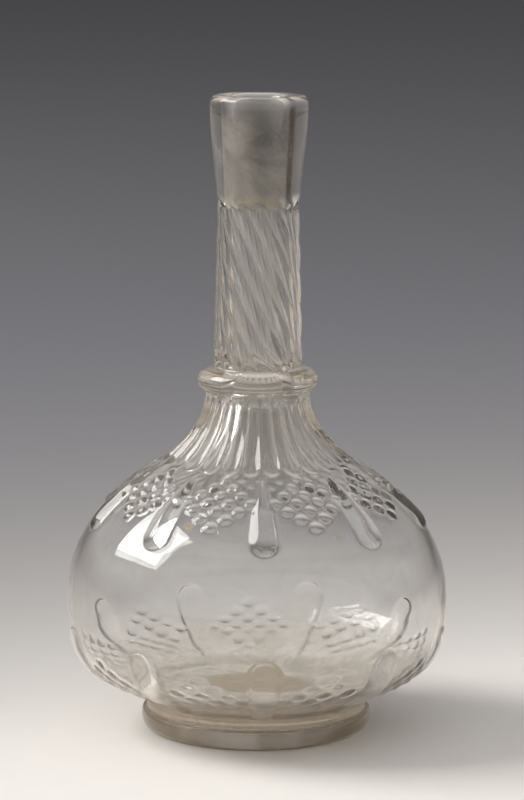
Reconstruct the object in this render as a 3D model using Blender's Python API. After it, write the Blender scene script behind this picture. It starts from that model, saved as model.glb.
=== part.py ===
# Glass carafe, blown into a carved mould: one hollow piece of clear glass that stands on a foot ring.
# Metres, +Z up, the origin at the middle of the foot ring's underside.
# Angles run round the vertical axis from the front (-Y) towards +X.
import math

import bmesh
import bpy
import numpy as np

# Foot: a rounded ring with a flat underside and a shallow hollow inside it
footRadius = 0.0472
footRound = 0.0038
restWidth = 0.0049
footWidestHeight = 0.0053
footHeight = 0.0082
footTopInset = 0.0008
hollowDepth = 0.0075
grooveDepth = 0.0024
grooveLength = 0.0048

# Body: a squat belly, a shoulder that turns hollow where it is leanest, and a throat below the collar
bellyRadius = 0.0779
bellyRise = 0.0430
shoulderRadius = 0.0545
shoulderRise = 0.0436
throatRadius = 0.0212
throatRise = 0.0409

# How full the body's curves are: angles, and handle lengths as shares of the rise or reach they belong to
grooveLean = math.radians(50)
shoulderLean = math.radians(44)
grooveHandle = 0.42
bellyLowerHandle = 0.89
bellyUpperHandle = 0.63
shoulderLowerHandle = 0.04
shoulderUpperHandle = 0.30
throatHandle = 0.54

# Collar: a ring round the foot of the neck
collarProud = 0.0033
collarTurn = math.radians(75)
collarLowerRise = 0.0042
collarUpperRise = 0.0047

# Neck and mouth
neckBaseRadius = 0.0181
neckTopRadius = 0.0164
neckLength = 0.0686
mouthRadius = 0.0199
mouthStep = 0.0004
mouthLength = 0.0420
mouthFlare = 0.2
mouthLowerHandle = 0.30
mouthUpperHandle = 0.45
lipRound = 0.0022

# Inside: a narrow bore through the thick neck, and thin walls round the belly
mouthBoreRadius = 0.0093
neckBoreRadius = 0.0082
throatWall = 0.0112
bellyWall = 0.0024
heelWall = 0.0032
floorWall = 0.0078

# Where the walls start to thicken, where the heel turns to the floor, and how late the floor rises
throatWallFrom = 0.3
heelWallFrom = 0.3
heelShare = 0.85
floorPower = 4

# Carving: nine lobes above and below, with a lozenge of beads between each two
sectorCount = 9
carvingTurn = math.radians(2.6)
beadSide = 4
beadHeight = 0.0011
upperLobeHeight = 0.0028
lowerLobeHeight = 0.0020

# Upper carving: heights as shares of the surface from the widest ring up to the throat
upperLobeTip = 0.284
upperLobeTop = 0.641
upperLobeHalfWidth = 0.0065
upperLozengeTop = 0.672
upperLozengeHeight = 0.310
upperLozengeWidth = 0.98  # share of a sector
beltShare = 0.7  # how far the belt's rings reach towards the lobes' lower tips

# Lower carving: heights as shares of the surface from the widest ring down to the groove
lowerLobeTip = 0.200
lowerLobeEnd = 0.945
lowerLobeWidth = 0.2525  # share of a sector
lowerLozengeTop = 0.301
lowerLozengeHeight = 0.552
lowerLozengeWidth = 0.86  # share of a sector

# Flutes: concave, meeting in sharp ridges, from the carving up to the collar
flutesPerSector = 3
fluteStart = 0.680
fluteRunIn = 0.055
fluteDepthShare = 0.17

# Ribs: wound round the neck, falling to the right
ribCount = 15
ribDepth = 0.0009
ribTurn = 31.0  # radians a metre
ribFade = 0.0035

# Facets: columns round the axis and rings along it
footColumns = 40
fluteColumns = 3
ribColumns = 4
mouthColumns = 36
boreColumns = 32
dishRings = 4
footRingsCount = 3
beltRingsCount = 3
fluteRingsCount = 4
collarRingsCount = 5
neckRingsCount = 6
mouthRingsCount = 5
lipRingsCount = 2
upperBoreRings = 8
lowerBoreRings = 5
floorRings = 2

sector = 2 * math.pi / sectorCount
beadRows = 2 * beadSide - 1
upperBeadPitch = upperLozengeHeight / (2 * beadSide)
lowerBeadPitch = lowerLozengeHeight / (2 * beadSide)
upperBeadAngle = upperLozengeWidth * sector / (2 * beadSide)
lowerBeadAngle = lowerLozengeWidth * sector / (2 * beadSide)
lowerLobeHalfAngle = lowerLobeWidth * sector / 2

restOuterRadius = footRadius - footRound
restInnerRadius = restOuterRadius - restWidth
grooveRadius = footRadius - grooveDepth
collarRadius = throatRadius + collarProud
grooveHeight = footHeight + grooveLength
bellyHeight = grooveHeight + bellyRise
shoulderHeight = bellyHeight + shoulderRise
throatHeight = shoulderHeight + throatRise
collarHeight = throatHeight + collarLowerRise
neckHeight = collarHeight + collarUpperRise
mouthHeight = neckHeight + neckLength
totalHeight = mouthHeight + mouthLength
floorHeight = hollowDepth + floorWall

glassColour = (0.86, 0.86, 0.84, 1.0)
glassRoughness = 0.06
glassIndex = 1.5
collectionName = "glass_carafe"
nodeName = "carafe"


def cubic(start, startHandle, endHandle, end, count):
    # Points of a cubic curve, as an array of radius and height
    share = np.linspace(0.0, 1.0, count)[:, None]
    back = 1.0 - share
    corners = [np.array(point) for point in (start, startHandle, endHandle, end)]
    weights = (back**3, 3 * back**2 * share, 3 * back * share**2, share**3)
    return sum(weight * corner for weight, corner in zip(weights, corners))


class Meridian:
    # A smooth line of radius and height, read at a share of its length

    def __init__(self, points):
        self.points = points
        steps = np.hypot(*np.diff(points, axis=0).T)
        self.lengths = np.concatenate([[0.0], np.cumsum(steps)])
        self.length = self.lengths[-1]

    def at(self, share):
        place = share * self.length
        radius = np.interp(place, self.lengths, self.points[:, 0])
        height = np.interp(place, self.lengths, self.points[:, 1])
        return np.array([radius, height])

    def normal(self, share):
        # Unit vector square to the line, away from the axis
        gap = 0.002
        along = self.at(min(share + gap, 1.0)) - self.at(max(share - gap, 0.0))
        across = np.array([abs(along[1]), -along[0] * math.copysign(1.0, along[1])])
        return across / np.hypot(*across)


def lowerBody():
    # The body from its widest ring down to the groove
    reach = grooveHandle * (bellyRadius - grooveRadius)
    bellyAway = (bellyRadius, bellyHeight - bellyLowerHandle * bellyRise)
    grooveAway = (
        grooveRadius + reach * math.cos(grooveLean),
        grooveHeight + reach * math.sin(grooveLean),
    )
    belly = (bellyRadius, bellyHeight)
    groove = (grooveRadius, grooveHeight)
    return Meridian(cubic(belly, bellyAway, grooveAway, groove, 300))


def upperBody():
    # The body from its widest ring up to the throat, in two curves that meet at the shoulder
    lean = np.array([-math.cos(shoulderLean), math.sin(shoulderLean)])
    belly = (bellyRadius, bellyHeight)
    shoulder = np.array([shoulderRadius, shoulderHeight])
    throat = (throatRadius, throatHeight)
    bellyAway = (bellyRadius, bellyHeight + bellyUpperHandle * shoulderRise)
    below = shoulder - shoulderLowerHandle * shoulderRise * lean
    above = shoulder + shoulderUpperHandle * throatRise * lean
    throatAway = (throatRadius, throatHeight - throatHandle * throatRise)
    convex = cubic(belly, bellyAway, below, shoulder, 200)
    hollow = cubic(shoulder, above, throatAway, throat, 200)
    return Meridian(np.vstack([convex, hollow[1:]]))


def roundedEnd(distance, radius):
    # Share of the full width near a rounded tip: a quarter circle, then 1
    left = 1.0 - min(max(distance / radius, 0.0), 1.0)
    return math.sqrt(1.0 - left * left)


def lobeSwell(across, halfWidth, fullWidth):
    # Height share over a lobe: rounded across, and lower where the lobe is narrow
    if halfWidth <= 0.0 or abs(across) >= halfWidth:
        return 0.0
    crown = (1.0 - (across / halfWidth) ** 2) ** 0.8
    return crown * (halfWidth / fullWidth) ** 0.6


def upperLobeReach(share, length):
    # Half width of an upper lobe: round at its lower tip, drawn out to a point above
    if not upperLobeTip < share < upperLobeTop:
        return 0.0
    along = (share - upperLobeTip) / (upperLobeTop - upperLobeTip)
    tip = roundedEnd((share - upperLobeTip) * length, upperLobeHalfWidth)
    return upperLobeHalfWidth * tip * (1.0 - along * along) ** 0.8


def lowerLobeReach(share, length, radius):
    # Half width of a lower lobe: round at its upper tip, then between two meridians
    if not lowerLobeTip < share < lowerLobeEnd:
        return 0.0
    full = radius * lowerLobeHalfAngle
    return full * roundedEnd((share - lowerLobeTip) * length, full)


def beadSwell(column, row):
    # Height share over a lozenge: one rounded bead to each cell of its slanted grid
    first = (row + column) / 2
    second = (row - column) / 2
    inside = -0.5 < first < beadSide - 0.5 and -0.5 < second < beadSide - 0.5
    if not inside:
        return 0.0
    return abs(math.cos(math.pi * first) * math.cos(math.pi * second))


def fromLobe(angle):
    # Angle from the nearest lobe's middle line
    return (angle - carvingTurn + sector / 2) % sector - sector / 2


def fromLozenge(angle):
    # Angle from the nearest lozenge's middle line
    return (angle - carvingTurn) % sector - sector / 2


def upperRelief(share, angle, radius, length):
    # Height of the upper carving above the plain body
    reach = upperLobeReach(share, length)
    lobe = upperLobeHeight * lobeSwell(fromLobe(angle) * radius, reach, upperLobeHalfWidth)
    column = fromLozenge(angle) / upperBeadAngle
    row = (upperLozengeTop - share) / upperBeadPitch - 1
    return max(lobe, beadHeight * beadSwell(column, row))


def lowerRelief(share, angle, radius, length):
    # Height of the lower carving above the plain body
    reach = lowerLobeReach(share, length, radius)
    lobe = lowerLobeHeight * lobeSwell(fromLobe(angle) * radius, reach, radius * lowerLobeHalfAngle)
    column = fromLozenge(angle) / lowerBeadAngle
    row = (share - lowerLozengeTop) / lowerBeadPitch - 1
    return max(lobe, beadHeight * beadSwell(column, row))


def fluteHollow(share, angle, radius):
    # Depth of the flutes: round hollows that die out above the carving
    width = sector / flutesPerSector
    across = 2 * ((angle - carvingTurn) % width) / width - 1.0
    rise = min(max((share - fluteStart) / fluteRunIn, 0.0), 1.0)
    return fluteDepthShare * width * radius * math.sqrt(rise) * (1.0 - across * across)


class Ring:
    # One closed row of points, with how far each stands proud of the plain surface

    def __init__(self, angles, radii, heights, reliefs):
        self.angles = angles
        self.radii = radii
        self.heights = heights
        self.reliefs = reliefs

    def points(self):
        rows = zip(self.angles, self.radii, self.heights)
        return [(radius * math.sin(a), -radius * math.cos(a), height) for a, radius, height in rows]


def plainRing(radius, height, count):
    # A round ring at one height, first point at the front
    angles = [2 * math.pi * i / count for i in range(count)]
    return Ring(angles, [radius] * count, [height] * count, [0.0] * count)


def carvedRing(line, share, angles, relief):
    # A ring on a meridian, each point moved out square to the surface by relief(angle, radius)
    radius, height = line.at(share)
    across = line.normal(share)
    proud = [relief(angle, radius) for angle in angles]
    radii = [radius + across[0] * rise for rise in proud]
    heights = [height + across[1] * rise for rise in proud]
    return Ring(angles, radii, heights, proud)


def carvedAngles(edge, beadAngle):
    # Columns of each sector: a lobe's middle line and edges, and one for each column of beads
    angles = []
    for index in range(sectorCount):
        start = carvingTurn + index * sector
        middle = start + sector / 2
        angles += [start, start + edge]
        angles += [middle + k * beadAngle for k in range(1 - beadSide, beadSide)]
        angles.append(start + sector - edge)
    return angles


def edgeAngle(reach, radius, beadAngle):
    # Angle of a lobe's edge column, kept between its middle line and the first column of beads
    most = sector / 2 - (beadSide - 1) * beadAngle
    return min(max(reach / radius, 0.35 * most), 0.92 * most)


def underRings():
    # The underside: a shallow hollow inside the flat ring that the carafe rests on
    rings = []
    for k in range(1, dishRings + 1):
        share = math.sin(math.pi / 2 * k / dishRings)
        rings.append(plainRing(restInnerRadius * share, hollowDepth * (1.0 - share**4), footColumns))
    rings.append(plainRing(restOuterRadius, 0.0, footColumns))
    return rings


def footRings():
    # The foot's rounded side and its upper edge, up to the groove
    rings = []
    for k in range(1, footRingsCount + 1):
        angle = math.pi / 2 * k / footRingsCount
        radius = restOuterRadius + footRound * math.sin(angle)
        rings.append(plainRing(radius, footWidestHeight * (1.0 - math.cos(angle)), footColumns))
    rings.append(plainRing(footRadius - footTopInset, footHeight, footColumns))
    rings.append(plainRing(grooveRadius, footHeight + grooveLength / 2, footColumns))
    return rings


def lowerRings(line):
    # The lower carving, from the groove up to the lobes' upper tips
    rows = [lowerLozengeTop + k * lowerBeadPitch for k in range(beadRows + 2)]
    shoulder = lowerLobeTip + 0.4 * (rows[0] - lowerLobeTip)
    angles = carvedAngles(lowerLobeHalfAngle, lowerBeadAngle)
    rings = []
    for share in [1.0, lowerLobeEnd] + rows[::-1] + [shoulder, lowerLobeTip]:
        rings.append(carvedRing(line, share, angles, lambda a, r: lowerRelief(share, a, r, line.length)))
    return rings


def beltRings(line):
    # The plain belt round the belly, between the two carvings
    angles = carvedAngles(lowerLobeHalfAngle, upperBeadAngle)
    shares = np.linspace(0.0, beltShare * upperLobeTip, beltRingsCount)
    return [carvedRing(line, share, angles, lambda a, r: 0.0) for share in shares]


def upperRings(line):
    # The upper carving, from the lobes' lower tips to the foot of the flutes
    rows = [upperLozengeTop - k * upperBeadPitch for k in range(beadRows + 2)]
    tipRun = rows[-1] - upperLobeTip
    rings = []
    for share in [upperLobeTip, upperLobeTip + 0.25 * tipRun, upperLobeTip + 0.6 * tipRun] + rows[::-1]:
        edge = edgeAngle(upperLobeReach(share, line.length), line.at(share)[0], upperBeadAngle)
        angles = carvedAngles(edge, upperBeadAngle)
        rings.append(carvedRing(line, share, angles, lambda a, r: upperRelief(share, a, r, line.length)))
    return rings


def fluteRings(line):
    # The fluted part of the shoulder and throat
    count = sectorCount * flutesPerSector * fluteColumns
    angles = [carvingTurn + 2 * math.pi * i / count for i in range(count)]
    shares = [fluteStart + 0.2 * fluteRunIn]
    shares += list(np.linspace(fluteStart + fluteRunIn, 1.0, fluteRingsCount))
    return [carvedRing(line, share, angles, lambda a, r: -fluteHollow(share, a, r)) for share in shares]


def collarRings():
    # The collar: two quarter ellipses, below and above its widest ring
    count = ribCount * ribColumns
    rings = []
    for k in range(collarRingsCount):
        turn = collarTurn * (2 * k / (collarRingsCount - 1) - 1)
        base = throatRadius if turn < 0 else neckBaseRadius
        rise = collarLowerRise if turn < 0 else collarUpperRise
        radius = base + (collarRadius - base) * math.cos(turn)
        rings.append(plainRing(radius, collarHeight + rise * math.sin(turn), count))
    return rings


def neckRings():
    # The neck with its wound ribs, whose columns follow the ribs round
    count = ribCount * ribColumns
    rings = []
    for rise in [0.0] + list(np.linspace(ribFade, neckLength - ribFade, neckRingsCount)) + [neckLength]:
        crest = neckBaseRadius + (neckTopRadius - neckBaseRadius) * rise / neckLength
        fade = min(rise, neckLength - rise, ribFade) / ribFade
        steps = [2 * math.pi * i / count for i in range(count)]
        hollow = [ribDepth * fade * (0.5 - 0.5 * math.cos(ribCount * step)) for step in steps]
        angles = [step - ribTurn * rise for step in steps]
        radii = [crest - depth for depth in hollow]
        rings.append(Ring(angles, radii, [neckHeight + rise] * count, [-depth for depth in hollow]))
    return rings


def mouthRings():
    # The plain mouth, widening upwards, and its rounded lip
    lip = min(lipRound, 0.48 * (mouthRadius - mouthBoreRadius))
    lipHeight = totalHeight - lip
    foot = (neckTopRadius + mouthStep, mouthHeight + mouthStep)
    footAway = (foot[0] + mouthFlare * (mouthRadius - foot[0]), foot[1] + mouthLowerHandle * mouthLength)
    lipAway = (mouthRadius, totalHeight - mouthUpperHandle * mouthLength)
    line = cubic(foot, footAway, lipAway, (mouthRadius, lipHeight), mouthRingsCount)
    rings = [plainRing(radius, height, mouthColumns) for radius, height in line]
    outerTurns = [k / lipRingsCount for k in range(1, lipRingsCount + 1)]
    innerTurns = [2 - turn for turn in outerTurns[::-1]] + [2]
    for centre, turns in ((mouthRadius - lip, outerTurns), (mouthBoreRadius + lip, innerTurns)):
        for turn in turns:
            angle = turn * math.pi / 2
            radius = centre + lip * math.cos(angle)
            rings.append(plainRing(radius, lipHeight + lip * math.sin(angle), mouthColumns))
    return rings


def wallAt(share, wall, endWall, thickFrom):
    # Wall thickness, constant up to a share of the meridian and then easing to its end
    blend = max((share - thickFrom) / (1.0 - thickFrom), 0.0)
    return wall + (endWall - wall) * blend * blend


def innerRing(line, share, wall):
    # A ring inside the wall, square to the outer surface
    radius, height = line.at(share) - wall * line.normal(share)
    return plainRing(radius, height, boreColumns)


def boreRings(upper, lower):
    # The inside, from the foot of the mouth down to the floor
    rings = [
        plainRing(neckBoreRadius, mouthHeight, boreColumns),
        plainRing(neckBoreRadius, collarHeight, boreColumns),
    ]
    for share in np.linspace(0.96, 0.16, upperBoreRings):
        rings.append(innerRing(upper, share, wallAt(share, bellyWall, throatWall, throatWallFrom)))
    for share in np.linspace(0.0, heelShare, lowerBoreRings):
        rings.append(innerRing(lower, share, wallAt(share, bellyWall, heelWall, heelWallFrom)))
    heelRadius = rings[-1].radii[0]
    heelRise = rings[-1].heights[0] - floorHeight
    for k in range(floorRings, 0, -1):
        share = k / (floorRings + 1)
        rings.append(plainRing(heelRadius * share, floorHeight + heelRise * share**floorPower, boreColumns))
    return rings


def bridge(mesh, first, second, firstPoints, secondPoints):
    # Two triangles a column, split so that a raised point keeps its own facets
    count = len(firstPoints)
    for i in range(count):
        j = (i + 1) % count
        a, b, c, d = firstPoints[i], firstPoints[j], secondPoints[j], secondPoints[i]
        rising = first.reliefs[i] + second.reliefs[j]
        falling = first.reliefs[j] + second.reliefs[i]
        if abs(rising - falling) < 1e-6:
            useRising = (a.co - c.co).length <= (b.co - d.co).length
        else:
            useRising = rising < falling
        if useRising:
            mesh.faces.new((a, b, c))
            mesh.faces.new((a, c, d))
        else:
            mesh.faces.new((a, b, d))
            mesh.faces.new((b, c, d))


def zipRings(mesh, first, second, firstPoints, secondPoints):
    # Triangles between rings of unlike counts, each step taken on the ring that lags
    full = 2 * math.pi
    firstCount = len(firstPoints)
    secondCount = len(secondPoints)
    origin = first.angles[0]
    firstTurns = [first.angles[i] - origin for i in range(firstCount)] + [full]
    offsets = [(angle - origin + full / 2) % full - full / 2 for angle in second.angles]
    begin = min(range(secondCount), key=lambda k: abs(offsets[k]))
    order = [(begin + k) % secondCount for k in range(secondCount)]
    secondTurns = [(offsets[k] - offsets[begin]) % full + offsets[begin] for k in order]
    secondTurns.append(secondTurns[0] + full)
    i = 0
    j = 0
    while i < firstCount or j < secondCount:
        a = firstPoints[i % firstCount]
        d = secondPoints[order[j % secondCount]]
        firstNext = firstTurns[i] + firstTurns[i + 1] if i < firstCount else math.inf
        secondNext = secondTurns[j] + secondTurns[j + 1] if j < secondCount else math.inf
        if firstNext <= secondNext:
            mesh.faces.new((a, firstPoints[(i + 1) % firstCount], d))
            i += 1
        else:
            mesh.faces.new((a, secondPoints[order[(j + 1) % secondCount]], d))
            j += 1


def closeEnd(mesh, rim, height, upwards):
    # A fan from the axis to a ring
    middle = mesh.verts.new((0.0, 0.0, height))
    for i, corner in enumerate(rim):
        following = rim[(i + 1) % len(rim)]
        mesh.faces.new((corner, following, middle) if upwards else (following, corner, middle))


def buildVessel():
    # The whole carafe as one chain of rings: underside, outside, lip, inside, floor
    lower = lowerBody()
    upper = upperBody()
    chain = underRings() + footRings() + lowerRings(lower) + beltRings(upper) + upperRings(upper)
    chain += fluteRings(upper) + collarRings() + neckRings() + mouthRings() + boreRings(upper, lower)
    mesh = bmesh.new()
    rows = [[mesh.verts.new(point) for point in ring.points()] for ring in chain]
    closeEnd(mesh, rows[0], hollowDepth, False)
    for k in range(len(chain) - 1):
        join = bridge if len(rows[k]) == len(rows[k + 1]) else zipRings
        join(mesh, chain[k], chain[k + 1], rows[k], rows[k + 1])
    closeEnd(mesh, rows[-1], floorHeight, True)
    mesh.normal_update()
    return mesh


def glassMaterial():
    # Clear glass with a faint warm grey cast
    material = bpy.data.materials.new("carafe_glass")
    material.use_nodes = True
    shader = material.node_tree.nodes["Principled BSDF"]
    shader.inputs["Base Color"].default_value = glassColour
    shader.inputs["Roughness"].default_value = glassRoughness
    shader.inputs["Metallic"].default_value = 0.0
    shader.inputs["Transmission Weight"].default_value = 1.0
    shader.inputs["IOR"].default_value = glassIndex
    return material


def main():
    for item in list(bpy.data.objects):
        bpy.data.objects.remove(item, do_unlink=True)
    collection = bpy.data.collections.new(collectionName)
    bpy.context.scene.collection.children.link(collection)
    vessel = buildVessel()
    data = bpy.data.meshes.new(nodeName)
    vessel.to_mesh(data)
    vessel.free()
    data.materials.append(glassMaterial())
    data.shade_smooth()
    data.set_sharp_from_angle(angle=math.radians(40))
    carafe = bpy.data.objects.new(nodeName, data)
    collection.objects.link(carafe)
    print("carafe height", round(totalHeight, 4), "triangles", len(data.polygons))


main()
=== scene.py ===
import math

import bpy
import numpy as np
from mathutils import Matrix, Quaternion, Vector


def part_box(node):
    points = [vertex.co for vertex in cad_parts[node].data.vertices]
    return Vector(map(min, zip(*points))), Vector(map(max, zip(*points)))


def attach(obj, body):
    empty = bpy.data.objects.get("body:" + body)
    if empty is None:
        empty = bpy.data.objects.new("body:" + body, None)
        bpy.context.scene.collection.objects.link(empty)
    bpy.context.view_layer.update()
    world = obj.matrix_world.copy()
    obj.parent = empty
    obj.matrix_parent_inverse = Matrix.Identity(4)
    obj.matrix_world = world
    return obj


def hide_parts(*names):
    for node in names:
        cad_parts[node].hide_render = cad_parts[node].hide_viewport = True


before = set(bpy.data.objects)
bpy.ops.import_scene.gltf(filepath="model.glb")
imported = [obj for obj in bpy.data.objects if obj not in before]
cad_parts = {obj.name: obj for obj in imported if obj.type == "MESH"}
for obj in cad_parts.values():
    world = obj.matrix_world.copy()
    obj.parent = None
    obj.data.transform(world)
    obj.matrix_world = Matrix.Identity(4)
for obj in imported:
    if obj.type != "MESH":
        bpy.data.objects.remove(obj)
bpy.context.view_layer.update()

bottom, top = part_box("carafe")

# Outline: radii and heights
outline = {
    "height": 260.0,
    "restInner": 38.5,
    "restOuter": 43.4,
    "hollowDepth": 7.5,
    "footRadius": 47.2,
    "footWidest": 5.3,
    "footTop": 8.2,
    "footInset": 0.9,
    "grooveRadius": 44.8,
    "grooveHeight": 10.4,
    "bellyRadius": 77.9,
    "bellyHeight": 56.0,
    "shoulderRadius": 54.5,
    "shoulderHeight": 99.6,
    "throatRadius": 21.2,
    "throatHeight": 140.5,
    "collarRadius": 24.5,
    "collarHeight": 144.7,
    "neckBase": 18.1,
    "neckHeight": 149.4,
    "neckTop": 16.4,
    "mouthStep": 0.4,
    "mouthHeight": 218.0,
    "mouthRadius": 19.9,
    "lipRound": 2.6,
}

# Fullness of the curves: leans in degrees, and handles as shares of the rise or reach they belong to
curves = {
    "grooveLean": 68,
    "shoulderLean": 44,
    "groove": 0.45,
    "bellyLower": 0.92,
    "bellyUpper": 0.63,
    "shoulderLower": 0.04,
    "shoulderUpper": 0.30,
    "throat": 0.54,
    "mouthFlare": 0.2,
    "mouthLower": 0.30,
    "mouthUpper": 0.45,
}

# Inside: bore radii and walls. The body's walls thicken from one share of the way to throat or groove, the
# heel turns at another, and the neck's bore takes up a share of the ribs' depth
inside = {
    "mouthBore": 10.1,
    "neckBore": 9.0,
    "throatWall": 11.2,
    "bellyWall": 2.4,
    "heelWall": 3.2,
    "floorWall": 7.8,
    "thickFrom": 0.3,
    "heelShare": 0.83,
    "followRibs": 0.1,
}

# Carving: heights, the upper lobe's half width and the ribs' depth and fade are in millimetres. Places and
# runs are shares of the way from the widest ring, other widths shares of a sector, and the flutes' depth one
# of their width. The turn is in degrees, and the ribs turn in radians a millimetre
carving = {
    "sectors": 9,
    "turn": 2.6,
    "beadSide": 4,
    "upperBeadHeight": 1.1,
    "lowerBeadHeight": 0.65,
    "beadReach": 0.45,
    "beadFullness": 0.8,
    "upperLobeHeight": 2.8,
    "lowerLobeHeight": 1.4,
    "upperFullness": 1.2,
    "lowerFullness": 0.5,
    "upperLobe": (0.284, 0.641),
    "upperLobeHalfWidth": 6.5,
    "taperPower": 0.8,
    "tipHeightPower": 1.2,
    "taperHeightPower": 0.6,
    "upperLozenge": (0.672, 0.362),
    "upperLozengeWidth": 0.98,
    "lowerLobe": (0.195, 0.945),
    "lowerLobeFade": 0.03,
    "lowerLobeWidth": 0.2525,
    "lowerLozenge": (0.293, 0.830),
    "lowerLozengeWidth": 0.86,
    "flutesPerSector": 3,
    "fluteStart": 0.665,
    "fluteRunIn": 0.06,
    "fluteEnd": 0.975,
    "fluteRunOut": 0.03,
    "fluteDepth": 0.21,
    "ribs": 15,
    "ribDepth": 1.2,
    "ribPower": 0.8,
    "ribTurn": 0.031,
    "ribFade": 3.5,
}

# Unevenness of hand work, in millimetres. The mouth's runs in above its foot, and the body's on the inside
# starts at one radius and is full at another
handwork = {
    "outer": 0.03,
    "neck": 0.10,
    "lip": 0.15,
    "mouthBore": 0.12,
    "neckBore": 0.2,
    "inner": 0.25,
    "floor": 0.2,
    "mouthRunIn": 6.0,
    "innerFrom": 20.0,
    "innerFull": 50.0,
}

# Seeds of the unevenness
seeds = {
    "outer": 3,
    "mouth": 5,
    "inner": 8,
    "floor": 9,
    "lip": 11,
    "mouthBore": 14,
    "neckBore": 17,
    "neck": 21,
}

# Points round the axis on each stretch: the same number in each sector of the carved one, and for each rib of
# the neck and its bore. The lobe's edge is a column, counted from the lobe's middle, and keeps within two
# shares of its even place
grid = {
    "foot": 150,
    "carved": 405,
    "lobeEdge": 6,
    "edgeReach": (0.4, 1.25),
    "collar": 180,
    "neck": 225,
    "mouth": 120,
    "neckBore": 150,
    "bodyInside": 216,
    "floor": 72,
}

# Rows of points along each stretch. Several counts are those between its stops, where the spacing changes
rowCounts = {
    "hollow": 8,
    "foot": 8,
    "lower": (4, 6, 40, 5, 8, 1, 3),
    "upper": (4, 1, 9, 5, 40, 6, 11, 8),
    "collar": 13,
    "neck": (4, 24, 4),
    "mouth": 12,
    "lip": 6,
    "mouthBore": 10,
    "neckBore": 34,
    "upperInside": 34,
    "lowerInside": 22,
    "floor": 10,
}

mm = (top[2] - bottom[2]) / outline["height"]
sector = 2 * math.pi / carving["sectors"]
firstAngle = math.radians(carving["turn"])
neckLength = outline["mouthHeight"] - outline["neckHeight"]
neckTwist = -carving["ribTurn"] * neckLength
restEdge = sector * grid["lobeEdge"] * carving["sectors"] / grid["carved"]


def cubic(start, startHandle, endHandle, end, count=400):
    # The four corners weighed by (1-t)^3, 3(1-t)^2 t, 3(1-t) t^2 and t^3
    t = np.linspace(0.0, 1.0, count)[:, None]
    corners = [np.array(point, float) for point in (start, startHandle, endHandle, end)]
    weights = ((1 - t) ** 3, 3 * (1 - t) ** 2 * t, 3 * (1 - t) * t**2, t**3)
    return sum(weight * corner for weight, corner in zip(weights, corners))


class Meridian:
    # A line of radius and height, read at shares of its length, with its outward normal

    def __init__(self, points):
        steps = np.hypot(*np.diff(points, axis=0).T)
        self.places = np.concatenate([[0.0], np.cumsum(steps)])
        self.length = self.places[-1]
        self.points = points
        self.slopes = np.gradient(points, self.places, axis=0)

    def read(self, share):
        place = np.asarray(share) * self.length
        radius, height = [np.interp(place, self.places, self.points[:, k]) for k in (0, 1)]
        along, rise = [np.interp(place, self.places, self.slopes[:, k]) for k in (0, 1)]
        outward = np.abs(rise)
        upward = -along * np.sign(rise)
        size = np.hypot(outward, upward)
        return radius, height, outward / size, upward / size


def lowerBody():
    # From the widest ring down to the groove
    o, c = outline, curves
    lean = math.radians(c["grooveLean"])
    reach = c["groove"] * (o["bellyRadius"] - o["grooveRadius"])
    belly = (o["bellyRadius"], o["bellyHeight"])
    groove = (o["grooveRadius"], o["grooveHeight"])
    bellyAway = (belly[0], belly[1] - c["bellyLower"] * (belly[1] - groove[1]))
    grooveAway = (groove[0] + reach * math.cos(lean), groove[1] + reach * math.sin(lean))
    return Meridian(cubic(belly, bellyAway, grooveAway, groove))


def upperBody():
    # From the widest ring up to the throat, in two curves that meet at the shoulder
    o, c = outline, curves
    lean = math.radians(c["shoulderLean"])
    slope = np.array([-math.cos(lean), math.sin(lean)])
    belly = (o["bellyRadius"], o["bellyHeight"])
    shoulder = np.array([o["shoulderRadius"], o["shoulderHeight"]])
    throat = (o["throatRadius"], o["throatHeight"])
    lowRise = shoulder[1] - belly[1]
    highRise = throat[1] - shoulder[1]
    bellyAway = (belly[0], belly[1] + c["bellyUpper"] * lowRise)
    below = shoulder - c["shoulderLower"] * lowRise * slope
    above = shoulder + c["shoulderUpper"] * highRise * slope
    throatAway = (throat[0], throat[1] - c["throat"] * highRise)
    convex = cubic(belly, bellyAway, below, shoulder)
    hollow = cubic(shoulder, above, throatAway, throat)
    return Meridian(np.vstack([convex, hollow[1:]]))


lowerLine = lowerBody()
upperLine = upperBody()


def ease(value):
    # 3t^2 - 2t^3, held between 0 and 1
    t = np.clip(value, 0.0, 1.0)
    return t * t * (3 - 2 * t)


def unevenness(angle, height, part, waves=7):
    # A sum of sines round and up the carafe, between about -1 and 1
    draw = np.random.default_rng(seeds[part])
    total = 0.0
    for _ in range(waves):
        turns = draw.integers(1, 6)
        pitch = draw.uniform(-0.09, 0.09)
        start = draw.uniform(0, 2 * math.pi)
        total = total + np.sin(turns * angle + pitch * height + start)
    return total / math.sqrt(waves)


def fromLobe(angle):
    # Angle from the nearest lobe's middle line
    return (angle - firstAngle + sector / 2) % sector - sector / 2


def roundTip(distance, radius):
    # Share of the full width: a quarter circle from 0 at the tip to 1 one radius in
    return np.sqrt(1.0 - (1.0 - np.clip(distance / radius, 0.0, 1.0)) ** 2)


def crown(across, reach, fullness):
    # (1 - u^2)^p across a lobe or bead, u = 1 at its edge
    u = np.clip(np.abs(across) / np.maximum(reach, 1e-6), 0.0, 1.0)
    return np.where(reach > 0, (1.0 - u**2) ** fullness, 0.0)


def upperTaper(share):
    # (1 - t^2)^p from the tip up to the point
    low, high = carving["upperLobe"]
    t = np.clip((share - low) / (high - low), 0.0, 1.0)
    return (1.0 - t * t) ** carving["taperPower"]


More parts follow.
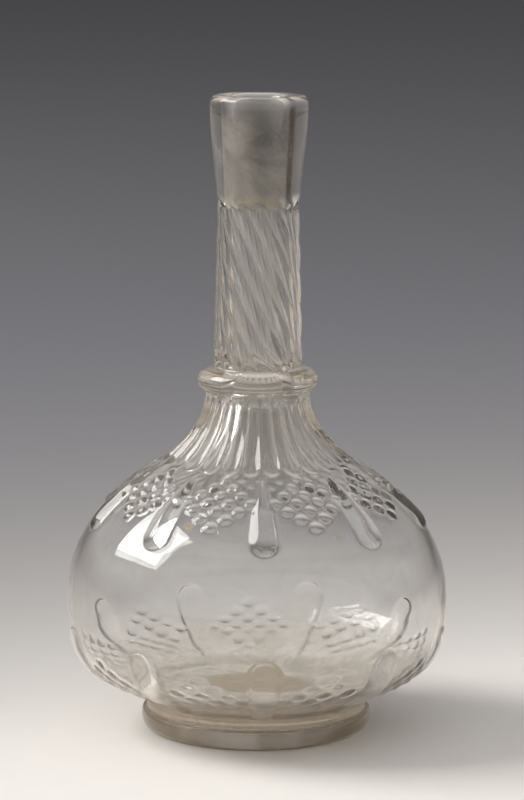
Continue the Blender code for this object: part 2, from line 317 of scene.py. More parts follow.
def upperLobes(share, angle, radius):
    # A round tip and a taper to a point bound the width, and powers of both the height
    c = carving
    half = c["upperLobeHalfWidth"]
    taper = upperTaper(share)
    tip = roundTip((share - c["upperLobe"][0]) * upperLine.length, half)
    across = crown(fromLobe(angle) * radius, half * tip * taper, c["upperFullness"])
    return c["upperLobeHeight"] * tip ** c["tipHeightPower"] * taper ** c["taperHeightPower"] * across


def lowerLobes(share, angle, radius):
    low, high = carving["lowerLobe"]
    half = radius * carving["lowerLobeWidth"] * sector / 2
    tip = roundTip((share - low) * lowerLine.length, half)
    end = ease((high - share) / carving["lowerLobeFade"])
    across = crown(fromLobe(angle) * radius, half * tip, carving["lowerFullness"])
    return carving["lowerLobeHeight"] * end * tip * across


def beads(angle, share, lozenge, width):
    # A crown round the middle of each cell of a grid turned by 45 degrees, inside the lozenge alone
    side = carving["beadSide"]
    start, end = lozenge
    fromMiddle = (angle - firstAngle) % sector - sector / 2
    column = fromMiddle / (width * sector / (2 * side))
    row = (share - start) / (end - start) * 2 * side - 1
    first = (row + column) / 2
    second = (row - column) / 2
    inner = (first > -0.5) & (first < side - 0.5) & (second > -0.5) & (second < side - 0.5)
    away = np.hypot(first - np.round(first), second - np.round(second))
    return np.where(inner, crown(away, carving["beadReach"], carving["beadFullness"]), 0.0)


def flutes(share, angle, radius):
    # Parabolas across each flute, as deep as its width allows, narrowed to a half round at both ends
    width = sector / carving["flutesPerSector"]
    across = 2 * ((angle - firstAngle) % width) / width - 1.0
    reach = roundTip(share - carving["fluteStart"], carving["fluteRunIn"])
    reach = reach * roundTip(carving["fluteEnd"] - share, carving["fluteRunOut"])
    hollow = np.clip(1.0 - (across / np.maximum(reach, 1e-6)) ** 2, 0.0, 1.0)
    return carving["fluteDepth"] * width * radius * reach * hollow


def upperRelief(share, angle, radius):
    c = carving
    lobe = upperLobes(share, angle, radius)
    dots = c["upperBeadHeight"] * beads(angle, share, c["upperLozenge"], c["upperLozengeWidth"])
    return np.maximum(lobe, dots) - flutes(share, angle, radius)


def lowerRelief(share, angle, radius):
    c = carving
    lobe = lowerLobes(share, angle, radius)
    dots = c["lowerBeadHeight"] * beads(angle, share, c["lowerLozenge"], c["lowerLozengeWidth"])
    return np.maximum(lobe, dots)


def evenAngles(count, turn=0.0):
    return firstAngle + turn + np.arange(count) * 2 * math.pi / count


def lobeAngles(edge):
    # Each row's columns: one on either side keeps to the lobe's edge, and the ridges of the flutes stay put
    perSector = grid["carved"] // carving["sectors"]
    third = perSector // carving["flutesPerSector"]
    k = grid["lobeEdge"]
    column = np.arange(perSector)
    marks = [0, k, third, perSector - third, perSector - k, perSector]
    one = [np.interp(column, marks, [0, e, sector / 3, 2 * sector / 3, sector - e, sector]) for e in edge]
    starts = np.arange(carving["sectors"]) * sector
    return firstAngle + (starts[None, :, None] + np.array(one)[:, None, :]).reshape(len(edge), -1)


def keptEdge(edge):
    # Keeps the edge columns within reach of their even place
    nearest, farthest = grid["edgeReach"]
    return np.clip(edge, nearest * restEdge, farthest * restEdge)


def surface(radius, height, angle):
    # x = r sin a, y = -r cos a, z = h
    radius, height, angle = np.broadcast_arrays(radius, height, angle)
    return np.stack([radius * np.sin(angle), -radius * np.cos(angle), height], axis=-1)


def carved(line, shares, angle, relief):
    # The plain surface moved along its normal by the relief and a little unevenness
    radius, height, outward, upward = [v[:, None] for v in line.read(shares)]
    proud = relief(shares[:, None], angle, radius)
    proud = proud + handwork["outer"] * unevenness(angle, height, "outer")
    return surface(radius + outward * proud, height + upward * proud, angle)


def steps(stops, counts):
    # Even steps between each pair of stops, every stop once
    parts = [np.linspace(a, b, n, endpoint=False) for a, b, n in zip(stops, stops[1:], counts)]
    return np.concatenate(parts + [[stops[-1]]])


def footBlock():
    # The hollow underneath is 1 - s^4 of its depth. Outside, quarter ellipses run below and above the widest
    # ring and into the groove
    o = outline
    s = np.sin(np.linspace(0.06, 1.0, rowCounts["hollow"]) * math.pi / 2)
    t = np.linspace(0.0, math.pi / 2, rowCounts["foot"])
    upper = t[1:]
    edge = o["footRadius"] - o["footInset"]
    radius = np.concatenate([
        o["restInner"] * s,
        o["restOuter"] + (o["footRadius"] - o["restOuter"]) * np.sin(t),
        edge + o["footInset"] * np.cos(upper),
        edge - (edge - o["grooveRadius"]) * np.sin(upper[1::2]),
    ])
    height = np.concatenate([
        o["hollowDepth"] * (1 - s**4),
        o["footWidest"] * (1 - np.cos(t)),
        o["footWidest"] + (o["footTop"] - o["footWidest"]) * np.sin(upper),
        o["footTop"] + (o["grooveHeight"] - o["footTop"]) / 2 * (1 - np.cos(upper[1::2])),
    ])
    return surface(radius[:, None], height[:, None], evenAngles(grid["foot"])[None, :])


def lowerBlock():
    # From the groove up to the widest ring
    low, high = carving["lowerLobe"]
    first, last = carving["lowerLozenge"]
    shares = steps([1.0, high, last, first, low + 0.04, low, low - 0.01, 0.0], rowCounts["lower"])
    half = carving["lowerLobeWidth"] * sector / 2
    tip = roundTip((shares - low) * lowerLine.length, half * lowerLine.read(shares)[0])
    return carved(lowerLine, shares, lobeAngles(keptEdge(half * tip)), lowerRelief)


def upperBlock():
    # From just above the widest ring up to the throat
    low, high = carving["upperLobe"]
    last, first = carving["upperLozenge"]
    stops = [0.0, low - 0.006, low, low + 0.035, first, last, last + 0.05, 0.94, 1.0]
    shares = steps(stops, rowCounts["upper"])[1:]
    half = carving["upperLobeHalfWidth"]
    tip = roundTip((shares - low) * upperLine.length, half)
    edge = keptEdge(half * tip * upperTaper(shares) / upperLine.read(shares)[0])
    back = ease((shares - high + 0.02) / 0.06)
    return carved(upperLine, shares, lobeAngles(edge + (restEdge - edge) * back), upperRelief)


def collarBlock():
    # Two quarter ellipses, below and above the widest place
    o = outline
    turn = np.radians(np.linspace(-80, 80, rowCounts["collar"]))
    base = np.where(turn < 0, o["throatRadius"], o["neckBase"])
    rise = np.where(turn < 0, o["collarHeight"] - o["throatHeight"], o["neckHeight"] - o["collarHeight"])
    radius = base + (o["collarRadius"] - base) * np.cos(turn)
    height = o["collarHeight"] + rise * np.sin(turn)
    return surface(radius[:, None], height[:, None], evenAngles(grid["collar"])[None, :])


def ribs(around, rise):
    # Depth of the hollows, 0 to 1: |sin|^p with p below 1, which meet in ridges, eased out at both ends
    fade = ease(np.minimum(rise, neckLength - rise) / carving["ribFade"])
    return fade * np.abs(np.sin(carving["ribs"] * around / 2)) ** carving["ribPower"]


def neckBlock():
    # Crest radius less the ribs' depth, on columns that wind round with the ribs
    o, c = outline, carving
    rise = steps([0.0, c["ribFade"], neckLength - c["ribFade"], neckLength], rowCounts["neck"])[:, None]
    crest = o["neckBase"] + (o["neckTop"] - o["neckBase"]) * rise / neckLength
    around = np.arange(grid["neck"])[None, :] * 2 * math.pi / grid["neck"]
    angle = firstAngle + around - c["ribTurn"] * rise
    wobble = handwork["neck"] * unevenness(angle, rise, "neck")
    return surface(crest - c["ribDepth"] * ribs(around, rise) + wobble, o["neckHeight"] + rise, angle)


def mouthBlock():
    # A small step, one cubic up to the lip, two quarter circles over it
    o, c = outline, curves
    lip = o["lipRound"]
    rim = o["height"] - lip
    length = o["height"] - o["mouthHeight"]
    foot = (o["neckTop"] + o["mouthStep"], o["mouthHeight"] + 2 * o["mouthStep"])
    away = (foot[0] + c["mouthFlare"] * (o["mouthRadius"] - foot[0]), foot[1] + c["mouthLower"] * length)
    back = (o["mouthRadius"], o["height"] - c["mouthUpper"] * length)
    side = cubic(foot, away, back, (o["mouthRadius"], rim), rowCounts["mouth"])
    t = np.linspace(0.0, math.pi / 2, rowCounts["lip"])[1:]
    outer = np.stack([o["mouthRadius"] - lip + lip * np.cos(t), rim + lip * np.sin(t)], axis=1)
    inner = np.stack([inside["mouthBore"] + lip - lip * np.sin(t), rim + lip * np.cos(t)], axis=1)
    line = np.vstack([side, outer, inner])
    angle = evenAngles(grid["mouth"], neckTwist)[None, :]
    radius, height = line[:, :1], line[:, 1:]
    sag = handwork["lip"] * ease((height - rim) / lip) * (1 + unevenness(angle, 0.0, "lip")) / 2
    runIn = ease((height - foot[1]) / handwork["mouthRunIn"])
    swell = handwork["outer"] * unevenness(angle, height, "mouth") * runIn
    return surface(radius + swell, height - sag, angle)


def mouthBoreBlock():
    # The bore narrows by an eased step from the rim to the foot of the mouth
    o, w = outline, inside
    rim = o["height"] - o["lipRound"]
    height = np.linspace(rim - 1.5, o["mouthHeight"], rowCounts["mouthBore"])[:, None]
    opening = ease((height - o["mouthHeight"]) / (rim - o["mouthHeight"]))
    radius = w["neckBore"] + (w["mouthBore"] - w["neckBore"]) * opening
    angle = evenAngles(grid["mouth"], neckTwist)[None, :]
    return surface(radius + handwork["mouthBore"] * unevenness(angle, height, "mouthBore"), height, angle)


def neckBoreBlock():
    # The bore follows the ribs a little, twisted with them
    o, w, c = outline, inside, carving
    rise = np.linspace(neckLength - 2.0, 0.0, rowCounts["neckBore"])[:, None]
    around = np.arange(grid["neckBore"])[None, :] * 2 * math.pi / grid["neckBore"]
    angle = firstAngle + around - c["ribTurn"] * rise
    hollow = w["followRibs"] * c["ribDepth"] * (ribs(around, rise) - 0.5)
    wobble = handwork["neckBore"] * unevenness(angle, 3 * rise, "neckBore")
    return surface(w["neckBore"] - hollow + wobble, o["neckHeight"] + rise, angle)


def bodyInsideBlock():
    # The body's plain surface moved in by its wall, which grows with the square of the way to either end
    w = inside
    parts = []
    for line, shares, wallEnd in (
        (upperLine, np.linspace(0.98, 0.02, rowCounts["upperInside"]), w["throatWall"]),
        (lowerLine, np.linspace(0.0, w["heelShare"], rowCounts["lowerInside"]), w["heelWall"]),
    ):
        radius, height, outward, upward = [v[:, None] for v in line.read(shares)]
        blend = np.clip((shares[:, None] - w["thickFrom"]) / (1 - w["thickFrom"]), 0.0, 1.0)
        wall = w["bellyWall"] + (wallEnd - w["bellyWall"]) * blend**2
        angle = evenAngles(grid["bodyInside"])[None, :]
        share = ease((radius - handwork["innerFrom"]) / (handwork["innerFull"] - handwork["innerFrom"]))
        wall = wall + handwork["inner"] * share * unevenness(angle, height, "inner")
        parts.append(surface(radius - wall * outward, height - wall * upward, angle))
    return np.concatenate(parts)


def floorBlock():
    # From the heel in to the middle, rising as the fourth power of the radius
    w = inside
    floor = outline["hollowDepth"] + w["floorWall"]
    radius, height, outward, upward = lowerLine.read(w["heelShare"])
    blend = (w["heelShare"] - w["thickFrom"]) / (1 - w["thickFrom"])
    wall = w["bellyWall"] + (w["heelWall"] - w["bellyWall"]) * blend**2
    heel = (radius - wall * outward, height - wall * upward)
    s = np.linspace(0.93, 0.08, rowCounts["floor"])[:, None]
    angle = evenAngles(grid["floor"])[None, :]
    wobble = handwork["floor"] * s * unevenness(angle, 60 * s, "floor")
    return surface(heel[0] * s, floor + (heel[1] - floor) * s**4 + wobble, angle)


def joinRings(first, firstCount, second, secondCount):
    # Triangles between rings of any two counts, each step taken in turn by the ring that lags
    i = np.arange(firstCount)
    j = np.arange(secondCount)
    firstMiddles = (i + 0.5) / firstCount
    secondMiddles = (j + 0.5) / secondCount
    across = np.searchsorted(secondMiddles, firstMiddles) % secondCount
    back = np.searchsorted(firstMiddles, secondMiddles, side="right") % firstCount
    ahead = np.stack([first + i, first + (i + 1) % firstCount, second + across], axis=1)
    behind = np.stack([second + (j + 1) % secondCount, second + j, first + back], axis=1)
    return np.concatenate([ahead, behind])


def rowQuads(start, rows, count):
    # Quads between each two rows of one block
    i = np.arange(count)
    j = (i + 1) % count
    first = start + count * np.arange(rows - 1)[:, None]
    return np.stack([first + i, first + j, first + count + j, first + count + i], axis=-1).reshape(-1, 4)


def fan(middle, start, count, upward):
    # Triangles from one point on the axis to a ring
    i = start + np.arange(count)
    j = start + (np.arange(count) + 1) % count
    ends = (i, j) if upward else (j, i)
    return np.stack([*ends, np.full(count, middle)], axis=1)


def makeMesh(name, points, quads, triangles):
    corners = np.concatenate([quads.ravel(), triangles.ravel()])
    sizes = np.concatenate([np.full(len(quads), 4), np.full(len(triangles), 3)])
    mesh = bpy.data.meshes.new(name)
    mesh.vertices.add(len(points))
    mesh.vertices.foreach_set("co", points.ravel())
    mesh.loops.add(len(corners))
    mesh.loops.foreach_set("vertex_index", corners)
    mesh.polygons.add(len(sizes))
    mesh.polygons.foreach_set("loop_start", np.concatenate([[0], np.cumsum(sizes)[:-1]]))
    mesh.update(calc_edges=True)
    mesh.validate()
    mesh.shade_smooth()
    return mesh


def buildGlass():
    # One chain of blocks from the middle of the underside, up the outside, down the bore to the floor
    outside = [footBlock(), lowerBlock(), upperBlock(), collarBlock(), neckBlock(), mouthBlock()]
    within = [mouthBoreBlock(), neckBoreBlock(), bodyInsideBlock(), floorBlock()]
    blocks = outside + within
    sizes = [block.shape[0] * block.shape[1] for block in blocks]
    starts = np.concatenate([[0], np.cumsum(sizes)])
    quads = [rowQuads(start, *block.shape[:2]) for start, block in zip(starts, blocks)]
    triangles = []
    for k in range(len(blocks) - 1):
        count = blocks[k].shape[1]
        triangles.append(joinRings(starts[k + 1] - count, count, starts[k + 1], blocks[k + 1].shape[1]))
    end = starts[-1]
    triangles.append(fan(end, 0, blocks[0].shape[1], False))
    triangles.append(fan(end + 1, end - blocks[-1].shape[1], blocks[-1].shape[1], True))
    poles = np.array([[0, 0, outline["hollowDepth"]], [0, 0, outline["hollowDepth"] + inside["floorWall"]]])
    points = np.concatenate([block.reshape(-1, 3) for block in blocks] + [poles]) * mm
    quads = np.concatenate(quads)
    triangles = np.concatenate(triangles)
    mesh = makeMesh("clearCarafe", points, quads, triangles)
    shares = np.zeros(len(points), np.float32)
    shares[starts[len(outside)]:end] = 1.0
    shares[end + 1] = 1.0
    mesh.attributes.new("within", "FLOAT", "POINT").data.foreach_set("value", shares)
    print("glass:", len(points), "points,", 2 * len(quads) + len(triangles), "triangles")
    return mesh


class Wire:
    # One socket; sums and products of wires and numbers add the Math nodes they need

    def __init__(self, bench, socket):
        self.bench = bench
        self.socket = socket

    def math(self, operation, other=None, clamp=False):
        values = [self] if other is None else [self, other]
        settings = {"operation": operation, "use_clamp": clamp}
        return self.bench.add("ShaderNodeMath", settings, dict(enumerate(values)))

    def __add__(self, other):
        return self.math("ADD", other)

    def __mul__(self, other):
        return self.math("MULTIPLY", other)

    def __sub__(self, other):
        return self.math("SUBTRACT", other)

    def __rsub__(self, other):
        return self.bench.add("ShaderNodeMath", {"operation": "SUBTRACT"}, {0: other, 1: self})

    def __truediv__(self, other):
        return self.math("DIVIDE", other)

    __radd__ = __add__
    __rmul__ = __mul__


class Bench:
    # A material's node tree and the one method that adds nodes to it

    def __init__(self, tree):
        self.tree = tree

    def add(self, kind, settings=None, sockets=None, out=0):
        node = self.tree.nodes.new(kind)
        for name, value in (settings or {}).items():
            setattr(node, name, value)
        for name, value in (sockets or {}).items():
            if isinstance(value, Wire):
                self.tree.links.new(value.socket, node.inputs[name])
            else:
                node.inputs[name].default_value = value
        return Wire(self, node.outputs[out])

    def place(self, out=3):
        # Object coordinates; out 0 is the direction, for the room
        return self.add("ShaderNodeTexCoord", {}, {}, out)

    def position(self, out=3):
        place = self.place(out)
        return [self.add("ShaderNodeSeparateXYZ", {}, {0: place}, k) for k in range(3)]

    def scaled(self, colour, factor):
        return self.add("ShaderNodeVectorMath", {"operation": "SCALE"}, {0: colour, "Scale": factor})

    def link(self, wire, node, socket):
        self.tree.links.new(wire.socket, node.inputs[socket])

    def noise(self, vector, scale, detail=3.0, roughness=0.5, distortion=0.0):
        values = {"Vector": vector, "Scale": scale, "Detail": detail}
        values.update({"Roughness": roughness, "Distortion": distortion})
        return self.add("ShaderNodeTexNoise", {"noise_dimensions": "3D"}, values)

    def between(self, value, low, high):
        # 0 below low, 1 above high, eased between
        settings = {"interpolation_type": "SMOOTHSTEP", "clamp": True}
        return self.add("ShaderNodeMapRange", settings, {"Value": value, "From Min": low, "From Max": high})

    def upTo(self, value, stops):
        # 1 below the first stop, 0 above the second
        return 1 - self.between(value, *stops)

    def band(self, value, stops):
        # Rises from the first stop to the second and falls from the third to the fourth
        return self.between(value, *stops[:2]) * self.upTo(value, stops[2:])

    def blend(self, share, first, second):
        # The node's colours are its sockets 6 and 7 and its output 2
        values = {"Factor": share, 6: first, 7: second}
        return self.add("ShaderNodeMix", {"data_type": "RGBA", "blend_type": "MIX"}, values, 2)


# Glass and what clings to it: colours, and the share of the glass that each layer covers. The swell's height
# is in metres
glassLook = {
    "tint": (0.95, 0.89, 0.77, 1.0),
    "tintDensity": 19.0,
    "index": 1.5,
    "roughness": 0.012,
    "wornRoughness": 0.1,
    "hazeRoughness": 0.2,
    "grimeRoughness": 0.85,
    "dustSheen": 0.40,
    "sheenRoughness": 0.4,
    "swellHeight": 0.00012,
    "swellStrength": 0.25,
    "hazeColour": (0.68, 0.62, 0.55, 1.0),
    "haze": 0.07,
    "clayColour": (0.88, 0.82, 0.715, 1.0),
    "throatFilm": 0.12,
    "neckFilm": 0.19,
    "deposit": 0.78,
    "darkFilm": (0.095, 0.090, 0.085, 1.0),
    # The film's pale colour, which on its left side is painted light
    "paleAndLitFilm": (0.47, 0.44, 0.405, 1.0),
    "mouthFilm": 0.78,
    "ringColour": (0.50, 0.43, 0.29, 1.0),
    "ringStain": 0.6,
    "streakColour": (0.12, 0.085, 0.05, 1.0),
    "streak": 0.9,
    "stainColour": (0.41, 0.325, 0.205, 1.0),
    "floorStain": 0.72,
    "soleColour": (0.72, 0.52, 0.32, 1.0),
    "underside": 0.14,
    "dustColour": (0.84, 0.73, 0.59, 1.0),
    "footDust": 0.52,
    # Dark dirt and painted shade in the crease under the collar
    "creaseShadeAndDirtColour": (0.24, 0.20, 0.15, 1.0),
    "creaseShadeAndDirt": 0.5,
    "spotColour": (0.42, 0.27, 0.13, 1.0),
    "spotCover": 0.6,
}

# Where the layers lie, in metres: heights, apart from the radii, the mouth's paler sides and the streak's
# front; the mouth's paler left side is painted light. The streak's side is a share of the radius. Four values
# are a band that starts, is full, fades and ends, and two are an edge
layerPlace = {
    "throatFilm": (0.098, 0.125, 0.14, 0.16),
    "neckFilm": (0.14, 0.16, 0.21, 0.219),
    "mouthFilm": (0.212, 0.222, 0.243, 0.2565),
    "ring": (0.2135, 0.2165, 0.2185, 0.2225),
    "streak": (0.205, 0.225, 0.253, 0.257),
    "streakSide": (0.925, 0.955),
    "streakFront": (-0.001, 0.001),
    "deposit": (0.0175, 0.034),
    "floorStain": (0.0165, 0.024),
    "stainRadius": (0.0192, 0.024),
    "soleHeight": (0.0082, 0.0092),
    "soleRadius": (0.0432, 0.044),
    "crease": (0.1393, 0.1403, 0.1418, 0.143),
    "footDust": (0.0080, 0.0094, 0.0122, 0.0165),
    # Painted light: the mouth's film is paler on the left, towards the key softbox
    "paintedLightLeft": (-0.008, 0.001),
    "paleRight": (0.002, 0.008),
    "paleLow": (0.222, 0.245),
}

# Brown spots on the shoulder: angle in degrees, height and radius in millimetres
stainSpots = ((-26.1, 94.0, 2.8), (29.8, 90.4, 1.8), (46.7, 82.0, 0.6))

# Noise in the glass and on it: scale, detail, roughness and distortion
noises = {
    "cloud": (62.0, 5.0, 0.62, 0.8),
    "fine": (420.0, 4.0, 0.6),
    "swell": (95.0, 2.0),
    "floor": (60.0, 3.0),
}

# Values of the noises between which a layer comes up
noiseEdges = {
    "patches": (0.38, 0.62),
    "soft": (0.25, 0.75),
    "specks": (0.5, 0.62),
    "ring": (0.42, 0.55),
    "streak": (0.35, 0.5),
    "crease": (0.38, 0.56),
    "spots": (0.36, 0.5),
}

# What each cause adds to the paleness of the mouth's film, which shows from a threshold on. The left share is
# painted light from the key softbox on that side
paleness = {
    "left": 0.8,
    "right": 0.35,
    "low": 0.6,
    "soft": 0.4,
    "specks": 0.1,
}
paleFrom = 0.12


class Fields:
    # What the layers are laid out by: coordinates, radius, side of the glass, wear and noises

    def __init__(self, bench):
        self.place = bench.place()
        self.x, self.y, self.z = bench.position()
        self.radius = (self.x * self.x + self.y * self.y).math("SQRT")
        self.within = bench.add("ShaderNodeAttribute", {"attribute_name": "within"}, {}, 2)
        self.outer = 1 - self.within
        low = bench.upTo(self.z, layerPlace["soleHeight"])
        self.worn = low * bench.upTo(self.radius, layerPlace["soleRadius"]) * self.outer
        self.cloud = bench.noise(self.place, *noises["cloud"])
        self.fine = bench.noise(self.place, *noises["fine"])
        self.patches = bench.between(self.cloud, *noiseEdges["patches"])
        self.soft = bench.between(self.cloud, *noiseEdges["soft"])


def mouthColour(bench, at):
    # Paler on the left, which is painted light from the key softbox on that side, a little paler on the
    # right, low down and in soft patches, and darkest in the middle
    causes = {
        "left": bench.upTo(at.x, layerPlace["paintedLightLeft"]),
        "right": bench.between(at.x, *layerPlace["paleRight"]),
        "low": bench.upTo(at.z, layerPlace["paleLow"]),
        "soft": at.soft,
        "specks": bench.between(at.fine, *noiseEdges["specks"]),
    }
    pale = sum(paleness[name] * cause for name, cause in causes.items())
    return bench.blend(pale.math("SUBTRACT", paleFrom, True), glassLook["darkFilm"], glassLook["paleAndLitFilm"])


def insideLayers(bench, at):
    # Haze all over, film in the bore, a ring and a streak in the mouth, clay and a stain on the floor: the
    # share that each covers and its colour
    look, lies = glassLook, layerPlace
    throat = bench.band(at.z, lies["throatFilm"])
    neck = bench.band(at.z, lies["neckFilm"]) * (0.3 + 0.7 * at.patches)
    mouth = bench.band(at.z, lies["mouthFilm"]) * (0.6 + 0.4 * at.soft)
    ring = bench.band(at.z, lies["ring"]) * bench.between(at.cloud, *noiseEdges["ring"])
    side = bench.between(at.x / at.radius, *lies["streakSide"]) * bench.upTo(at.y, lies["streakFront"])
    streak = side * bench.band(at.z, lies["streak"]) * bench.between(at.fine, *noiseEdges["streak"])
    deposit = bench.upTo(at.z, lies["deposit"]) * (0.6 + 0.4 * at.patches)
    stain = bench.upTo(at.z, lies["floorStain"]) * bench.upTo(at.radius, lies["stainRadius"])
    return [
        (look["haze"] * (0.5 + at.patches), look["hazeColour"]),
        (throat * look["throatFilm"], look["clayColour"]),
        (neck * look["neckFilm"], look["clayColour"]),
        (mouth * look["mouthFilm"], mouthColour(bench, at)),
        (ring * look["ringStain"], look["ringColour"]),
        (streak * look["streak"], look["streakColour"]),
        (deposit * look["deposit"], look["clayColour"]),
        (stain * look["floorStain"], look["stainColour"]),
    ]


def brownSpots(bench, at):
    # Round spots on the plain surface under the carving
    spots = 0.0
    for azimuth, height, size in stainSpots:
        radius = np.interp(height, upperLine.points[:, 1], upperLine.points[:, 0])
        middle = surface(radius, height, math.radians(azimuth)) * mm
        ends = {0: at.place, 1: list(middle)}
        away = bench.add("ShaderNodeVectorMath", {"operation": "DISTANCE"}, ends, 1)
        spots = spots + bench.upTo(away, (0.4 * size * mm, size * mm))
    return spots


def outsideLayers(bench, at):
    # The worn underside, pale dust in the hollow over the foot, dirt and painted shade in the crease below
    # the collar and brown spots: where each lies, the share that it covers there, how much it colours and its
    # colour
    look, lies = glassLook, layerPlace
    dust = bench.band(at.z, lies["footDust"]) * (0.75 + 0.25 * at.patches) * at.outer
    # Painted shade and dirt in the crease under the collar
    crease = bench.band(at.z, lies["crease"]) * bench.between(at.fine, *noiseEdges["crease"]) * at.outer
    spots = brownSpots(bench, at) * bench.between(at.fine, *noiseEdges["spots"]) * at.outer
    return [
        (at.worn, look["underside"], at.worn, look["soleColour"]),
        (dust, look["footDust"], bench.between(dust, 0.0, 0.2), look["dustColour"]),
        (crease, look["creaseShadeAndDirt"], crease, look["creaseShadeAndDirtColour"]),
        (spots, look["spotCover"], spots, look["spotColour"]),
    ]


def glassMaterial():
    look = glassLook
    material = bpy.data.materials.new("clearGlass")
    material.use_nodes = True
    tree = material.node_tree
    tree.nodes.clear()
    bench = Bench(tree)
    at = Fields(bench)

    # Inside, each layer covers what lies under it. Outside, they lie side by side
    share = 0.0
    colour = look["hazeColour"]
    for cover, layerColour in insideLayers(bench, at):
        share = cover + share * (1 - cover)
        colour = bench.blend(cover / (share + 0.001), colour, layerColour)
    share = share * at.within
    for where, cover, tinted, layerColour in outsideLayers(bench, at):
        share = share + where * cover
        colour = bench.blend(tinted, colour, layerColour)

    # Wear and what clings to the glass roughen it, and the inside is a little uneven
    roughness = look["roughness"] + look["wornRoughness"] * at.worn + look["hazeRoughness"] * share
    swell = at.within * bench.noise(at.place, *noises["swell"])
    bump = {"Strength": look["swellStrength"], "Distance": look["swellHeight"], "Height": swell}
    normal = bench.add("ShaderNodeBump", {}, bump)
    glass = bench.add("ShaderNodeBsdfPrincipled", {}, {
        "Base Color": (1.0, 1.0, 1.0, 1.0),
        "Roughness": roughness,
        "IOR": look["index"],
        "Transmission Weight": 1.0,
        "Sheen Weight": look["dustSheen"],
        "Sheen Roughness": look["sheenRoughness"],
        "Sheen Tint": look["hazeColour"],
        "Normal": normal,
    })
    grime = bench.add("ShaderNodeBsdfPrincipled", {}, {
        "Base Color": colour,
        "Roughness": look["grimeRoughness"],
    })
    mixed = bench.add("ShaderNodeMixShader", {}, {0: share, 1: glass, 2: grime})
    depth = {"Color": look["tint"], "Density": look["tintDensity"]}
    body = bench.add("ShaderNodeVolumeAbsorption", {}, depth)
    end = tree.nodes.new("ShaderNodeOutputMaterial")
    bench.link(mixed, end, "Surface")
    bench.link(body, end, "Volume")
    return material


# Studio, in metres and degrees: a pale floor with a pool of light painted on it, darker with distance, one
# softbox on the left, a dim room. The room's edges are parts of a unit direction: how far behind the carafe,
# and how high
studio = {
    "floorRadii": (0.3, 1.0, 2.5, 8.0),
    "floorPoints": 128,
    "floorGap": 0.00008,
    "floorColour": (0.885, 0.852, 0.812, 1.0),
    "farColour": (0.872, 0.868, 0.945, 1.0),
    "farReach": (0.1, 1.2),
    "floorMottle": 0.03,
    "floorRoughness": 0.8,
    "floorSpecular": 0.1,
    # The pool of light painted on the floor: its place, reach and falloff
    "poolDepth": 0.12,
    "poolReach": 0.157,
    "poolEdge": 0.032,
    "poolPower": 12.0,
    "glowReach": 0.36,
    "glowShare": 0.635,
    "glowPower": 2.16,
    "poolTurn": 30.0,
    "sideStretch": 0.5,
    "frontStretch": 0.3,
    "keyRadiance": 8.9,
    "keyColour": (1.0, 0.985, 0.965),
    "keyAim": (0.0, 0.0, 0.09),
    "keyAzimuth": -98.7,
    "keyElevation": 41.6,
    "keyDistance": 4.0,
    "keySize": (2.55, 1.98),
    "keyRoll": 17.5,
    "horizon": (0.115, 0.113, 0.118, 1.0),
    "leftRoom": (0.80, 0.785, 0.775, 1.0),
    "rightRoom": (0.46, 0.455, 0.46, 1.0),
    "behind": (-0.2, 0.7),
    "behindDark": 0.45,
    "lowBehind": (-0.6, 0.1),
    "lowHeight": (0.05, 0.4),
}


def buildFloor():
    # A flat disc, a hair below the foot: a fan in the middle and rings of quads out to its edge
    count = studio["floorPoints"]
    level = -studio["floorGap"]
    radii = np.array(studio["floorRadii"])
    angle = np.arange(count) * 2 * math.pi / count
    rings = surface(radii[:, None], np.full((len(radii), 1), level), angle[None, :])
    points = np.concatenate([rings.reshape(-1, 3), [[0.0, 0.0, level]]])
    quads = rowQuads(0, len(radii), count)[:, ::-1]
    mesh = makeMesh("studioFloor", points, quads, fan(len(points) - 1, 0, count, True))
    mesh.materials.append(floorMaterial())
    item = bpy.data.objects.new("studioFloor", mesh)
    bpy.context.scene.collection.objects.link(item)


def floorMaterial():
    # The floor's colour carries a painted pool of light. Brightness is (1 + (d/a)^m)^-q times 1 - k + k / (1
    # + (d/b)^n). The distance d from a pool of light counts less to the front and the sides
    s = studio
    material = bpy.data.materials.new("paleFloor")
    material.use_nodes = True
    shader = material.node_tree.nodes["Principled BSDF"]
    bench = Bench(material.node_tree)
    x, y = bench.position()[:2]
    turn = math.radians(s["poolTurn"])
    back = y * math.cos(turn) - x * math.sin(turn) + s["poolDepth"]
    side = (x * math.cos(turn) + y * math.sin(turn)) * s["sideStretch"]
    depth = back.math("MAXIMUM", 0.0) - s["frontStretch"] * back.math("MINIMUM", 0.0)
    distance = (side * side + depth * depth).math("SQRT")
    edge = (1 + (distance / s["poolReach"]).math("POWER", s["poolPower"])).math("POWER", -s["poolEdge"])
    glow = (1 + (distance / s["glowReach"]).math("POWER", s["glowPower"])).math("POWER", -1.0)
    paintedPoolLight = edge * (1 - s["glowShare"] + s["glowShare"] * glow)
    speck = bench.noise(bench.place(), *noises["floor"])
    tint = bench.blend(bench.between(distance, *s["farReach"]), s["floorColour"], s["farColour"])
    colour = bench.scaled(tint, paintedPoolLight * (1 - s["floorMottle"] / 2 + s["floorMottle"] * speck))
    bench.link(colour, shader, "Base Color")
    shader.inputs["Roughness"].default_value = s["floorRoughness"]
    shader.inputs["Specular IOR Level"].default_value = s["floorSpecular"]
    return material


def direction(azimuth, elevation):
    # Unit vector, azimuth from the front (-Y) towards +X
    a, e = math.radians(azimuth), math.radians(elevation)
    return Vector((math.sin(a) * math.cos(e), -math.cos(a) * math.cos(e), math.sin(e)))


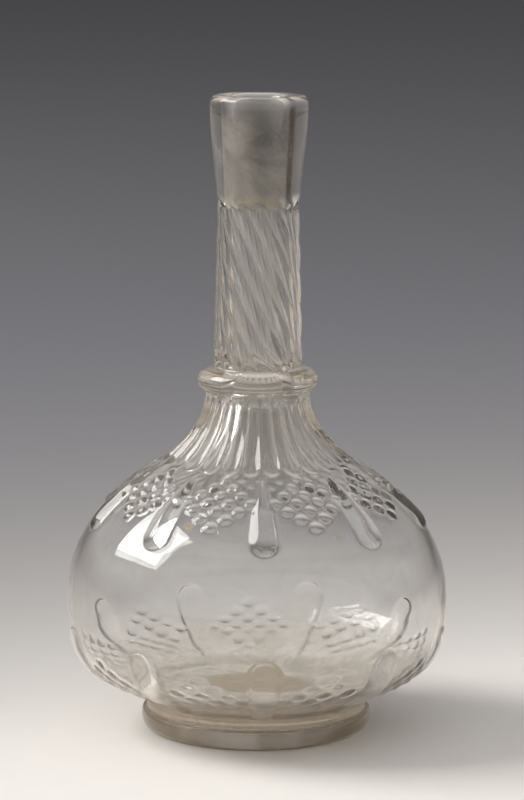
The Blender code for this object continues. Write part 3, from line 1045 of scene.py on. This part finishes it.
def lightStudio():
    s = studio
    light = bpy.data.lights.new("keySoftbox", "AREA")
    light.shape = "RECTANGLE"
    light.size, light.size_y = s["keySize"]
    light.energy = s["keyRadiance"] * math.pi * light.size * light.size_y
    light.color = s["keyColour"]
    away = direction(s["keyAzimuth"], s["keyElevation"])
    item = bpy.data.objects.new("keySoftbox", light)
    item.location = Vector(s["keyAim"]) + s["keyDistance"] * away
    turn = (-away).to_track_quat("-Z", "Y") @ Quaternion((0, 0, 1), math.radians(s["keyRoll"]))
    item.rotation_euler = turn.to_euler()
    bpy.context.scene.collection.objects.link(item)

    # The room: dark low down behind the carafe, lighter above and all round, most of all on the left
    world = bpy.data.worlds.new("studioRoom")
    world.use_nodes = True
    bench = Bench(world.node_tree)
    x, y, z = bench.position(0)
    room = bench.blend(bench.between(x, -1.0, 1.0), s["leftRoom"], s["rightRoom"])
    behind = bench.between(y, *s["behind"])
    low = bench.between(y, *s["lowBehind"]) * bench.upTo(z, s["lowHeight"])
    dark = low.math("MAXIMUM", s["behindDark"] * behind)
    colour = bench.blend(dark, room, s["horizon"])
    bench.link(colour, world.node_tree.nodes["Background"], "Color")
    bpy.context.scene.world = world


# Camera: metres, the lens in millimetres, the shift a share of the frame and the roll in degrees
camera = {
    "place": (0.0, -1.404, 0.363),
    "aim": (0.0, 0.0, 0.1357),
    "lens": 156.95,
    "shift": 0.0055,
    "roll": 0.3,
}


def placeCamera():
    data = bpy.data.cameras.new("photoCamera")
    data.sensor_fit = "VERTICAL"
    data.sensor_height = 36.0
    data.lens = camera["lens"]
    data.shift_x = camera["shift"]
    item = bpy.data.objects.new("photoCamera", data)
    place = Vector(camera["place"])
    item.location = place
    turn = (Vector(camera["aim"]) - place).to_track_quat("-Z", "Y")
    roll = Quaternion((0, 0, 1), math.radians(camera["roll"]))
    item.rotation_euler = (turn @ roll).to_euler()
    bpy.context.scene.collection.objects.link(item)
    bpy.context.scene.camera = item


def main():
    placeCamera()
    print("camera placed")
    mesh = buildGlass()
    mesh.materials.append(glassMaterial())
    glass = bpy.data.objects.new("clearCarafe", mesh)
    bpy.context.scene.collection.objects.link(glass)
    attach(glass, "root")
    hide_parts("carafe")
    print("glass built")
    buildFloor()
    lightStudio()
    bpy.context.scene.view_settings.view_transform = "Standard"
    print("studio lit")


main()
